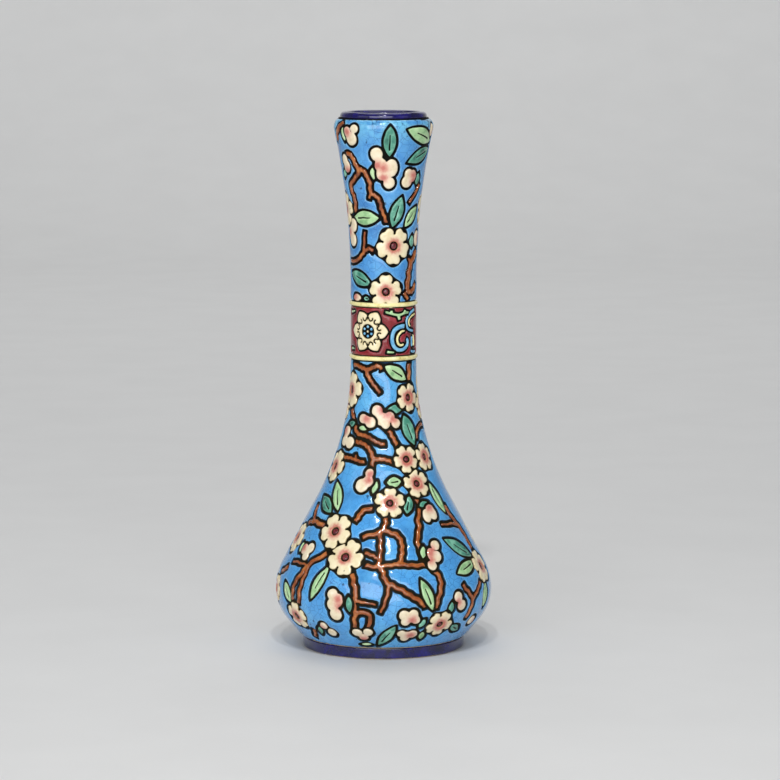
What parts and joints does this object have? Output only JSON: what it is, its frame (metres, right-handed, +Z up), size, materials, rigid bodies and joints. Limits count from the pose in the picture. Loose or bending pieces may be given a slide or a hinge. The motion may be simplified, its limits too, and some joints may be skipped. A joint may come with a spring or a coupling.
{
  "type": "bottle vase",
  "caption": "Long-necked bottle vase in glazed ceramic with domed enamel blossoms between dark outlines, two raised beads round the neck and a rolled lip.",
  "frame": {"origin": "centre of the face the vase stands on", "axes": "+Z up along the axis of the vase, -Y towards the front, +X to the viewer's right"},
  "size_m": [0.0972, 0.0972, 0.24],
  "materials": {
    "bare_faience": "matt unglazed clay",
    "clear_glaze": "gloss",
    "cobalt_glaze": "gloss",
    "outline_print": "satin",
    "blue_enamel": "gloss, crackled",
    "red_enamel": "gloss",
    "cream_enamel": "gloss",
    "petal_enamel": "gloss",
    "maroon_enamel": "gloss",
    "bud_enamel": "gloss",
    "light_green_enamel": "gloss",
    "teal_enamel": "gloss",
    "brown_enamel": "gloss",
    "pale_blue_enamel": "gloss"
  },
  "bodies": {
    "root": {"faience_body": "bare_faience", "interior_glaze": "clear_glaze", "base_glaze": "clear_glaze", "foot_glaze": "cobalt_glaze", "lip_glaze": "cobalt_glaze", "outline_print": "outline_print", "neck_ground": "blue_enamel", "body_ground": "blue_enamel", "band_ground": "red_enamel", "upper_bead": "cream_enamel", "lower_bead": "cream_enamel", "blossom_petals": "petal_enamel", "blossom_centres": "maroon_enamel", "bud_petals": "bud_enamel", "calyxes_light": "light_green_enamel", "calyxes_dark": "teal_enamel", "leaves_light": "light_green_enamel", "leaves_dark": "teal_enamel", "branches": "brown_enamel", "band_rosettes": "petal_enamel", "band_rosette_dots": "pale_blue_enamel", "band_scrolls_blue": "pale_blue_enamel", "band_scrolls_cream": "cream_enamel", "band_sprigs": "light_green_enamel"}
  },
  "joints": []
}
